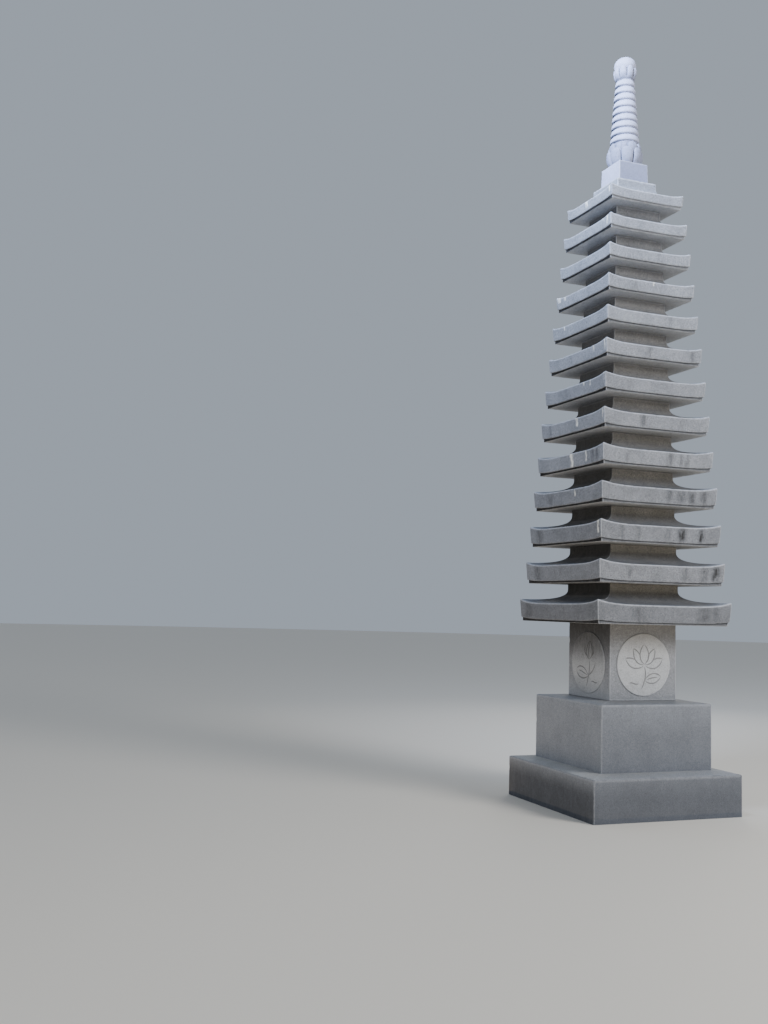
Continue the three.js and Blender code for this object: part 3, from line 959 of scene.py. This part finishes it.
def carve_lotus(bm, foot, top, sizes):
    """Two rows of rounded petals, the upper row standing behind and between the lower one."""
    worn, damp_and_shade = float_layers(bm, "worn", "damp_and_shade")
    height, tips = top - foot, sizes.lotus_petals
    # Radii of the petals' backs, at even heights from foot to tip
    lower_row = (sizes.lotus_foot, 0.1380, 0.1465, 0.1488, 0.1475, 0.1370)
    upper_row = (0.110, 0.116, 0.124, 0.1325, 0.1355, 0.1200)
    for vert in bm.verts:
        up = vert.co.z - foot
        if vert.co.xy.length < 0.1 or up < CLOSE or up > height - CLOSE:
            continue
        angle = math.atan2(vert.co.y, vert.co.x)

        across = petal_place(angle, 0.5)
        breadth = max(0.0, 1 - (up / (height - NEAR)) ** 9) ** 0.5
        cover = smooth_step((breadth - abs(across)) / 0.12)
        back = along_curve(upper_row, up / height) - 0.008 * abs(across) ** 2.5
        core = 0.106 - 0.002 * up / height
        size = core + (back - core) * cover
        between = 0.7 * (1 - cover)

        across = petal_place(angle, 0.0)
        breadth = max(0.0, 1 - (up / tips) ** 5) ** 0.45
        cover = smooth_step((breadth - abs(across)) / 0.10)
        front = along_curve(lower_row, up / tips) - 0.015 * abs(across) ** 3
        size += (min(front, 0.149) - size) * cover
        cleft = smooth_step(1 - abs(cover - 0.3) / 0.3) if breadth < 0.98 else 0.0
        cleft = max(cleft, smooth_step((abs(across) - 0.88) / 0.1) * (up > 0.01))

        # Darker all over, with painted shade in the clefts and between the petals
        vert[damp_and_shade] = max(0.55, between * (1 - cover), cleft)
        vert[worn] = 0.5 * smooth_step(1 - abs(breadth - 0.1 - abs(across)) / 0.15)
        vert.co.x, vert.co.y = size * math.cos(angle), size * math.sin(angle)


def carve_cup(bm, foot, top, floor, sizes):
    """Pointed petals around the hollow that holds the jewel."""
    damp_and_shade, rain_and_painted_shade = float_layers(bm, "damp_and_shade", "rain_and_painted_shade")
    height = top - foot
    # Radii of the petals' backs, at even heights from foot to tip
    backs = (sizes.cup_foot, 0.0835, 0.0910, 0.0950, 0.0958, 0.0920)
    for vert in bm.verts:
        reach = vert.co.xy.length
        if reach < sizes.cup_hollow - 0.002 or vert.co.z < foot + CLOSE:
            continue
        angle = math.atan2(vert.co.y, vert.co.x)
        across = abs(petal_place(angle, 0.5))
        rim = height * (1 - 0.23 * across ** 2)
        if reach < 0.083:
            if vert.co.z < floor + CLOSE:
                continue
            share = (vert.co.z - floor) / (top - floor)
            vert.co.z = floor + (foot + rim - floor) * share
            bulge = (along_curve(backs, share) - 0.012 - reach) * share ** 0.7
            size = reach + (bulge - 0.004 * across ** 2)
        else:
            share = (vert.co.z - foot) / height
            size = along_curve(backs, share) - 0.013 * across ** 2.4 * smooth_step(share * 2.5)
            size = min(size, max(backs))
            under = smooth_step((0.30 - share) / 0.25)
            slit = smooth_step((across - 0.74) / 0.18) * smooth_step(share * 3)
            # Painted shade under the foot, in the slits between petals and on the side away from
            # the light, and darker all over, most on the lower half
            vert[damp_and_shade] = max(0.9 * under, slit, 0.25, 0.65 * smooth_step((0.75 - share) / 0.5))
            vert[rain_and_painted_shade] = 0.7 * under * away_from_light(vert.co)
            vert.co.z = foot + rim * share
        vert.co.x, vert.co.y = size * math.cos(angle), size * math.sin(angle)


def ring_radius(sizes, ring):
    """Radius of one ring of the shaft, counted from 0 at its foot."""
    return sizes.ring_radius - ring * (sizes.ring_radius - sizes.top_ring_radius) / (RING_COUNT - 1)


def ring_profile(foot, top, sizes):
    """Nine rings on one tapering shaft, each widest at its lower edge and undercut below."""
    pitch = (top - foot) / RING_COUNT
    # One ring: how far out in depths of the groove, and how far up in heights of a ring
    shape = (
        (-1.00, 0.000), (-0.94, 0.050), (-0.66, 0.085), (-0.34, 0.125), (-0.12, 0.180),
        (-0.02, 0.25), (0.00, 0.33), (-0.02, 0.43), (-0.08, 0.54), (-0.18, 0.66),
        (-0.34, 0.77), (-0.56, 0.86), (-0.80, 0.935),
    )
    profile = [(0.0, foot)]
    for ring in range(RING_COUNT):
        radius = ring_radius(sizes, ring)
        for outward, up in shape:
            profile.append((radius + outward * sizes.groove_depth, foot + (ring + up) * pitch))
    profile.append((sizes.top_ring_radius - sizes.groove_depth, top))
    profile.append((0.0, top))
    return profile


def shade_grooves(bm, foot, top, sizes):
    """Paints shade into the undercut of each ring, most on the side away from the light."""
    damp_and_shade, rain_and_painted_shade = float_layers(bm, "damp_and_shade", "rain_and_painted_shade")
    pitch = (top - foot) / RING_COUNT
    for vert in bm.verts:
        ring = min(int((vert.co.z - foot) / pitch + 0.001), RING_COUNT - 1)
        up = (vert.co.z - foot) / pitch - ring
        if up < 0.5:
            undercut = smooth_step((0.34 - up) / 0.16)
        else:
            inward = (ring_radius(sizes, ring) - vert.co.xy.length) / sizes.groove_depth
            undercut = 0.8 * smooth_step(inward * 2 - 0.7)
        shaded = away_from_light(vert.co)
        vert[damp_and_shade] = undercut * (0.30 + 0.70 * shaded)
        vert[rain_and_painted_shade] = undercut * 0.6 * shaded ** 2


def cut_block(sizes, low, high):
    """Square block that tapers a little, with painted shade on its two open sides."""
    rows, spacing, arris, open_side_shade = 14, 0.0135, 0.004, 0.68
    lower, upper = (high.x - low.x) / 2, sizes.block_top_side / 2
    levels = []
    for row in range(rows + 1):
        share = row / rows
        height = low.z + (high.z - low.z) * share
        levels.append(Level(lower + (upper - lower) * share, height, arris=row in (0, rows)))
    bm = square_stone(levels, spacing, arris)
    chip_arrises(bm, 0.002, 0.03)
    (damp_and_shade,) = float_layers(bm, "damp_and_shade")
    for vert in bm.verts:
        vert[damp_and_shade] = open_side_shade * (1 - turned_away(vert.co, CORNER_BLEND))
    return bm


def cut_lotus(sizes, low, high):
    """Blank of the lotus turned as a drum, then carved."""
    rows, segments, drum, top_radius = 72, 208, 0.116, 0.1045
    profile = [(0.0, low.z), (sizes.lotus_foot, low.z)]
    profile += [(drum, low.z + (high.z - low.z) * row / rows) for row in range(1, rows)]
    profile += [(top_radius, high.z), (0.0, high.z)]
    bm = turned_stone(profile, segments)
    carve_lotus(bm, low.z, high.z, sizes)
    return bm


def cut_rings(sizes, low, high):
    """Turned shaft with its rings."""
    bm = turned_stone(ring_profile(low.z, high.z, sizes), PLAIN_SEGMENTS)
    shade_grooves(bm, low.z, high.z, sizes)
    return bm


def cut_cup(sizes, low, high):
    """Blank of the cup turned with its hollow, then carved."""
    segments, rows, outer, hollow_rows, inner = 160, 30, 0.087, 10, 0.079
    floor = high.z - sizes.cup_depth
    profile = [(0.0, low.z), (sizes.cup_foot, low.z)]
    profile += [(outer, low.z + (high.z - low.z) * row / rows) for row in range(1, rows + 1)]
    profile += [
        (inner, high.z - (high.z - floor) * row / hollow_rows) for row in range(hollow_rows)
    ]
    profile += [(sizes.cup_hollow, floor), (0.0, floor)]
    bm = turned_stone(profile, segments)
    carve_cup(bm, low.z, high.z, floor, sizes)
    return bm


def cut_jewel(sizes, low, high):
    """Jewel turned from one curve through two ends and two handles."""
    height, points = high.z - low.z, 32
    knots = ((sizes.jewel_foot, 0.0), (0.112, 0.24), (0.102, 0.86), (0.0, 1.0))
    ends = [Vector((radius, low.z + height * up, 0)) for radius, up in knots]
    profile = [(point.x, point.y) for point in interpolate_bezier(*ends, points)]
    return turned_stone([(0.0, low.z)] + profile, PLAIN_SEGMENTS)


class PAGODA_OT_finial(bpy.types.Operator):
    """Turn and carve the finial: block, lotus, rings, cup and jewel"""

    bl_idname = "pagoda.finial"
    bl_label = "Finial"

    def execute(self, context):
        sizes = context.scene.pagoda_finial
        material = granite(
            "carved_granite", context.scene.pagoda_finish.finial_sky_lit_grey, marks=0.05, clouding=0.4,
            grain=0.7, wear=0.4,
        )
        pieces = (
            ("square_finial_block", "finial_block", cut_block),
            ("petalled_lotus", "finial_lotus", cut_lotus),
            ("turned_rings", "finial_rings", cut_rings),
            ("petalled_cup", "finial_cup", cut_cup),
            ("round_jewel", "finial_jewel", cut_jewel),
        )
        for name, node, cut in pieces:
            low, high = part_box(node)
            place_stone(cut(sizes, low, high), name, node, material)
        return {"FINISHED"}


# Granite


class Wiring:
    """Adds nodes to one tree and joins them."""

    def __init__(self, tree):
        self.tree = tree

    def node(self, kind, inputs=None, **settings):
        """Adds a node with its settings, and feeds its inputs by name or number."""
        made = self.tree.nodes.new(kind)
        for name, value in settings.items():
            setattr(made, name, value)
        for key, value in (inputs or {}).items():
            self.give(made.inputs[key], value)
        return made

    def give(self, socket, value):
        """Feeds a socket from another socket, or sets its own value."""
        if isinstance(value, bpy.types.NodeSocket):
            self.tree.links.new(value, socket)
        else:
            socket.default_value = value

    def math(self, operation, first, second=0.0, clamp=False):
        return self.node(
            "ShaderNodeMath", {0: first, 1: second}, operation=operation, use_clamp=clamp
        ).outputs[0]

    def times(self, first, second, clamp=False):
        return self.math("MULTIPLY", first, second, clamp)

    def blend(self, kind, factor, first, second):
        """Colour of the second laid over the first, as far as the factor goes."""
        return self.node(
            "ShaderNodeMix", {0: factor, 6: first, 7: second}, data_type="RGBA", blend_type=kind,
            clamp_factor=True,
        ).outputs[2]

    def band(self, value, low, high, start=0.0, end=1.0):
        """Smooth change from start to end while the value goes from low to high."""
        return self.node(
            "ShaderNodeMapRange",
            {"Value": value, "From Min": low, "From Max": high, "To Min": start, "To Max": end},
            interpolation_type="SMOOTHSTEP",
        ).outputs[0]

    def noise(self, place, scale, detail, roughness=0.55):
        """Cloudy value; three scales stretch the clouds along the axes."""
        if isinstance(scale, tuple):
            place = self.node("ShaderNodeMapping", {"Vector": place, "Scale": scale}).outputs[0]
            scale = 1.0
        return self.node(
            "ShaderNodeTexNoise",
            {"Vector": place, "Scale": scale, "Detail": detail, "Roughness": roughness},
        ).outputs["Fac"]

    def crystals(self, place, scale, channel):
        """One random value for each crystal of a size."""
        cells = self.node("ShaderNodeTexVoronoi", {"Vector": place, "Scale": scale})
        parted = self.node("ShaderNodeSeparateColor", {"Color": cells.outputs["Color"]})
        return parted.outputs[channel]


def effect_group(name, inputs, outputs):
    """Empty shader node group with the named sockets, its wiring, and its two ends."""
    tree = bpy.data.node_groups.new(name, "ShaderNodeTree")
    for label, kind in inputs.items():
        tree.interface.new_socket(name=label, in_out="INPUT", socket_type=f"NodeSocket{kind}")
    for label, kind in outputs.items():
        tree.interface.new_socket(name=label, in_out="OUTPUT", socket_type=f"NodeSocket{kind}")
    wires = Wiring(tree)
    given = wires.node("NodeGroupInput")
    result = wires.node("NodeGroupOutput")
    return wires, given.outputs, result.inputs


def grain_group(name):
    """Crystals of granite: ground colour, dark mica, pale feldspar and a slow clouding."""
    wires, given, result = effect_group(
        name,
        {
            "Position": "Vector", "Ground": "Color", "Mica": "Color", "Feldspar": "Color",
            "Clouding": "Float", "Contrast": "Float",
        },
        {"Color": "Color", "Height": "Float", "Roughness": "Float"},
    )
    place = given["Position"]
    fine = wires.crystals(place, 360.0, 0)
    coarse = wires.crystals(place, 130.0, 1)
    colour = given["Ground"]
    speckles = (
        (fine, 0.70, 0.80, 0.30, "Feldspar"),
        (fine, 0.17, 0.13, 0.52, "Mica"),
        (coarse, 0.12, 0.06, 0.22, "Mica"),
        (coarse, 0.88, 0.94, 0.16, "Feldspar"),
    )
    for value, low, high, most, mineral in speckles:
        share = wires.times(wires.band(value, low, high, 0.0, most), given["Contrast"])
        colour = wires.blend("MIX", share, colour, given[mineral])
    cloud = wires.noise(place, 5.5, 5.0)
    mottle = wires.noise(place, 24.0, 4.0, 0.65)
    shade = wires.math("ADD", wires.times(cloud, 0.62), wires.times(mottle, 0.38))
    shade = wires.band(shade, 0.36, 0.62, 0.86, 1.08)
    grey = wires.node("ShaderNodeCombineColor", {0: shade, 1: shade, 2: shade}).outputs[0]
    wires.give(result["Color"], wires.blend("MULTIPLY", given["Clouding"], colour, grey))
    rough = wires.noise(place, 520.0, 2.0)
    height = wires.math("ADD", wires.times(fine, 0.45), wires.times(rough, 0.55))
    wires.give(result["Height"], height)
    wires.give(result["Roughness"], wires.band(fine, 0.1, 0.9, 0.70, 0.88))


def rain_and_shade_group(name):
    """Dark marks that water leaves, and painted shade: vertical streaks, gathered where the stone
    is marked.
    """
    wires, given, result = effect_group(
        name, {"Position": "Vector", "Marked": "Float", "Everywhere": "Float"}, {"Mask": "Float"}
    )
    place = given["Position"]
    broad = wires.noise(place, (26.0, 26.0, 3.2), 4.0, 0.6)
    thin = wires.noise(place, (95.0, 95.0, 5.5), 3.0, 0.6)
    streak = wires.times(wires.band(broad, 0.40, 0.66), wires.band(thin, 0.36, 0.62, 0.35, 1.0))
    blots = wires.noise(place, (30.0, 30.0, 13.0), 3.0, 0.6)
    spots = wires.noise(place, 46.0, 4.0, 0.7)
    local = wires.times(given["Marked"], wires.band(blots, 0.34, 0.62, 0.45, 1.15))
    local = wires.times(local, wires.band(spots, 0.30, 0.66, 0.80, 1.10))
    general = wires.times(streak, given["Everywhere"])
    wires.give(result["Mask"], wires.math("MAXIMUM", local, general, clamp=True))


def wear_group(name):
    """Pale worn arrises, broken up by the grain."""
    wires, given, result = effect_group(
        name, {"Position": "Vector", "Edge": "Float", "Shelter": "Float"}, {"Mask": "Float"}
    )
    patchy = wires.noise(given["Position"], 34.0, 4.0, 0.65)
    open_air = wires.math("SUBTRACT", 1.0, given["Shelter"], clamp=True)
    broken = wires.band(patchy, 0.30, 0.62, 0.35, 1.0)
    mask = wires.times(wires.band(given["Edge"], 0.25, 1.0), broken)
    wires.give(result["Mask"], wires.times(mask, open_air, clamp=True))


def grime_and_shade_group(name):
    """Brown film on the sheltered walls, slopes and soffits, partly grime and partly painted shade
    under the eaves, and dust on what faces up.
    """
    wires, given, result = effect_group(
        name,
        {"Position": "Vector", "Shelter": "Float", "Facing Up": "Float"},
        {"Film": "Float", "Dust": "Float"},
    )
    place = given["Position"]
    cloud = wires.noise(place, 9.0, 5.0, 0.6)
    runs = wires.noise(place, (30.0, 30.0, 4.0), 4.0, 0.6)
    uneven = wires.math("ADD", wires.times(cloud, 0.5), wires.times(runs, 0.5))
    film = wires.times(given["Shelter"], wires.band(uneven, 0.34, 0.60, 0.93, 1.0), clamp=True)
    wires.give(result["Film"], film)
    settled = wires.band(given["Facing Up"], 0.25, 0.9)
    dust = wires.times(settled, wires.band(cloud, 0.36, 0.66, 0.05, 0.50), clamp=True)
    wires.give(result["Dust"], dust)


def lime_group(name):
    """White runs with ragged edges."""
    wires, given, result = effect_group(
        name, {"Position": "Vector", "Run": "Float"}, {"Mask": "Float"}
    )
    ragged = wires.noise(given["Position"], (58.0, 58.0, 20.0), 4.0, 0.65)
    swing = wires.times(wires.math("SUBTRACT", ragged, 0.5), 3.6)
    value = wires.math("ADD", given["Run"], swing)
    mask = wires.times(wires.band(value, 0.10, 0.95), wires.band(given["Run"], 0.06, 0.45))
    wires.give(result["Mask"], mask)


EFFECTS = {
    "granite_grain": grain_group,
    "rain_marks_and_painted_shade": rain_and_shade_group,
    "worn_arris": wear_group,
    "grime_and_painted_shade": grime_and_shade_group,
    "lime_runs": lime_group,
}


def effect(wires, name, inputs):
    """Places one shared effect in a material, and builds it for the first material."""
    if name not in bpy.data.node_groups:
        EFFECTS[name](name)
    return wires.node("ShaderNodeGroup", inputs, node_tree=bpy.data.node_groups[name]).outputs


def opaque(colour):
    """Colour with the fourth value that a colour socket wants."""
    return (*colour, 1.0)


def granite(name, ground, marks, clouding, grain, wear, grime_and_shade=1.0):
    """Granite with its grain, under the grime, rain marks, lime and wear, and the painted shade and
    light, written in the stone.
    """
    finish = bpy.context.scene.pagoda_finish
    material = bpy.data.materials.new(name)
    material.use_nodes = True
    material.node_tree.nodes.clear()
    wires = Wiring(material.node_tree)
    place = wires.node("ShaderNodeTexCoord").outputs["Object"]

    def written(layer):
        return wires.node("ShaderNodeAttribute", attribute_name=layer).outputs["Fac"]

    normal = wires.node("ShaderNodeNewGeometry").outputs["Normal"]
    facing_up = wires.node("ShaderNodeSeparateXYZ", {"Vector": normal}).outputs["Z"]
    shelter = written("shelter")
    # Paler stone on the moon discs, and painted light on the soffits and on the low shaded sides of
    # the block and plinth
    ground = wires.blend("MIX", written("pale_and_painted_light"), opaque(ground), opaque(finish.disc_grey))
    crystals = effect(wires, "granite_grain", {
        "Position": place, "Ground": ground, "Mica": opaque(finish.mica),
        "Feldspar": opaque(finish.feldspar), "Clouding": clouding, "Contrast": grain,
    })
    film = effect(
        wires, "grime_and_painted_shade", {"Position": place, "Shelter": shelter, "Facing Up": facing_up}
    )
    rain = effect(
        wires, "rain_marks_and_painted_shade", {"Position": place, "Marked": written("rain_and_painted_shade"), "Everywhere": marks}
    )
    worn = effect(
        wires, "worn_arris", {"Position": place, "Edge": written("worn"), "Shelter": shelter}
    )
    lime = effect(wires, "lime_runs", {"Position": place, "Run": written("lime")})
    # Painted shade at the bottom of the incised lines and in the crease under each eave
    cuts = wires.band(written("painted_groove_shade"), 0.38, 0.62)

    # What lies on the stone, from the oldest layer to the newest: brown film that is partly painted
    # shade, painted shade with some damp, rain marks with painted shade, dust, worn edges with a
    # painted highlight on the upright eave corners, lime, and painted shade in the incised lines
    # and creases
    layers = (
        ("MULTIPLY", wires.times(film["Film"], grime_and_shade), finish.grime_and_shade),
        ("MULTIPLY", written("damp_and_shade"), finish.damp_and_shade),
        ("MULTIPLY", rain["Mask"], finish.rain_and_painted_shade),
        ("MIX", wires.times(film["Dust"], 0.35), finish.dust),
        ("MIX", wires.times(worn["Mask"], wear), finish.arris_pale),
        ("MIX", wires.times(lime["Mask"], 0.9), finish.lime),
        ("MULTIPLY", wires.times(cuts, 0.6), finish.cut),
    )
    colour = crystals["Color"]
    for kind, share, tone in layers:
        colour = wires.blend(kind, share, colour, opaque(tone))

    film_roughness = wires.times(film["Film"], 0.06)
    roughness = wires.math("ADD", crystals["Roughness"], film_roughness, clamp=True)
    bump = wires.node(
        "ShaderNodeBump", {"Strength": 0.45, "Distance": 0.0006, "Height": crystals["Height"]}
    ).outputs["Normal"]
    shader = wires.node("ShaderNodeBsdfPrincipled", {
        "Base Color": colour, "Roughness": roughness, "Normal": bump, "Specular IOR Level": 0.35,
    })
    wires.node("ShaderNodeOutputMaterial", {"Surface": shader.outputs[0]})
    return material


# Stage


def light(kind, name, place, power, colour):
    """Lamp that lights the scene and isn't seen in it."""
    source = bpy.data.lights.new(name, kind)
    source.energy = power
    source.color = colour
    lamp = bpy.data.objects.new(name, source)
    lamp.location = place
    lamp.visible_camera = False
    bpy.context.scene.collection.objects.link(lamp)
    return lamp


def soft_panel(panel, power):
    """Square soft light from the table, turned to what it faces."""
    lamp = light("AREA", panel.name, panel.place, power, panel.colour)
    lamp.data.shape = "SQUARE"
    lamp.data.size = panel.side
    lamp.data.spread = math.radians(panel.spread)
    towards = Vector(panel.aim) - Vector(panel.place)
    lamp.rotation_euler = towards.to_track_quat("-Z", "Y").to_euler()


def lay_floor(colour):
    """Round pale floor, wide enough to reach the horizon."""
    bm = bmesh.new()
    bmesh.ops.create_circle(bm, cap_ends=True, segments=96, radius=60.0)
    mesh = bpy.data.meshes.new("pale_floor")
    bm.to_mesh(mesh)
    bm.free()
    material = bpy.data.materials.new("pale_floor")
    material.use_nodes = True
    shader = material.node_tree.nodes["Principled BSDF"]
    shader.inputs["Base Color"].default_value = opaque(colour)
    shader.inputs["Roughness"].default_value = 0.9
    mesh.materials.append(material)
    floor = bpy.data.objects.new("pale_floor", mesh)
    bpy.context.scene.collection.objects.link(floor)


def hang_sky(colour, strength):
    """Even light from all around."""
    world = bpy.data.worlds.new("studio_sky")
    bpy.context.scene.world = world
    world.use_nodes = True
    sky = world.node_tree.nodes["Background"]
    sky.inputs["Color"].default_value = opaque(colour)
    sky.inputs["Strength"].default_value = strength


def place_camera(studio):
    """Camera that stands, turns, tilts and rolls as the photograph's did."""
    turn, tilt, roll = studio.camera_turn, studio.camera_tilt, studio.camera_roll
    forward = Vector((
        math.sin(turn) * math.cos(tilt), math.cos(turn) * math.cos(tilt), math.sin(tilt)
    ))
    level = Vector((math.cos(turn), -math.sin(turn), 0.0))
    upright = level.cross(forward)
    right = level * math.cos(roll) + upright * math.sin(roll)
    up = upright * math.cos(roll) - level * math.sin(roll)
    lens = bpy.data.cameras.new("view_camera")
    lens.lens = studio.lens
    lens.sensor_width = 36.0
    lens.clip_end = 200.0
    camera = bpy.data.objects.new("view_camera", lens)
    facing = Matrix((right, up, -forward)).transposed().to_4x4()
    camera.matrix_world = Matrix.Translation(studio.camera_place) @ facing
    bpy.context.scene.collection.objects.link(camera)
    bpy.context.scene.camera = camera


class PAGODA_OT_stage(bpy.types.Operator):
    """Set up the floor, the soft light and the camera"""

    bl_idname = "pagoda.stage"
    bl_label = "Stage"

    def execute(self, context):
        studio = context.scene.pagoda_studio
        lay_floor(studio.floor)
        hang_sky(studio.sky, studio.sky_strength)
        key = light("POINT", "key_light", (4.5, -9.0, 6.5), studio.key_power, (1.0, 0.99, 0.97))
        key.data.shadow_soft_size = 2.2
        for panel in PANELS:
            soft_panel(panel, panel.share * getattr(studio, panel.setting))
        place_camera(studio)
        return {"FINISHED"}


class PAGODA_PT_panel(bpy.types.Panel):
    """Stone pagoda"""

    bl_label = "Stone Pagoda"
    bl_idname = "PAGODA_PT_panel"
    bl_space_type = "VIEW_3D"
    bl_region_type = "UI"
    bl_category = "Pagoda"

    def draw(self, context):
        for operator in STEPS:
            self.layout.operator(operator.bl_idname)


GROUPS = {
    "pagoda_stones": PagodaStoneSizes,
    "pagoda_finial": PagodaFinialSizes,
    "pagoda_finish": PagodaFinish,
    "pagoda_studio": PagodaStudio,
}
STEPS = (
    PAGODA_OT_stage,
    PAGODA_OT_base_stones,
    PAGODA_OT_storey_block,
    PAGODA_OT_roof_stones,
    PAGODA_OT_finial,
)


def register():
    """Adds the settings, the operators and the panel to Blender."""
    for group in GROUPS.values():
        bpy.utils.register_class(group)
    for name, group in GROUPS.items():
        setattr(bpy.types.Scene, name, PointerProperty(type=group))
    for step in STEPS:
        bpy.utils.register_class(step)
    bpy.utils.register_class(PAGODA_PT_panel)


def unregister():
    """Takes them out again."""
    bpy.utils.unregister_class(PAGODA_PT_panel)
    for step in reversed(STEPS):
        bpy.utils.unregister_class(step)
    for name, group in GROUPS.items():
        delattr(bpy.types.Scene, name)
        bpy.utils.unregister_class(group)


def main():
    register()
    bpy.ops.pagoda.stage()
    bpy.ops.pagoda.base_stones()
    bpy.ops.pagoda.storey_block()
    bpy.ops.pagoda.roof_stones()
    bpy.ops.pagoda.finial()


if __name__ == "__main__":
    main()
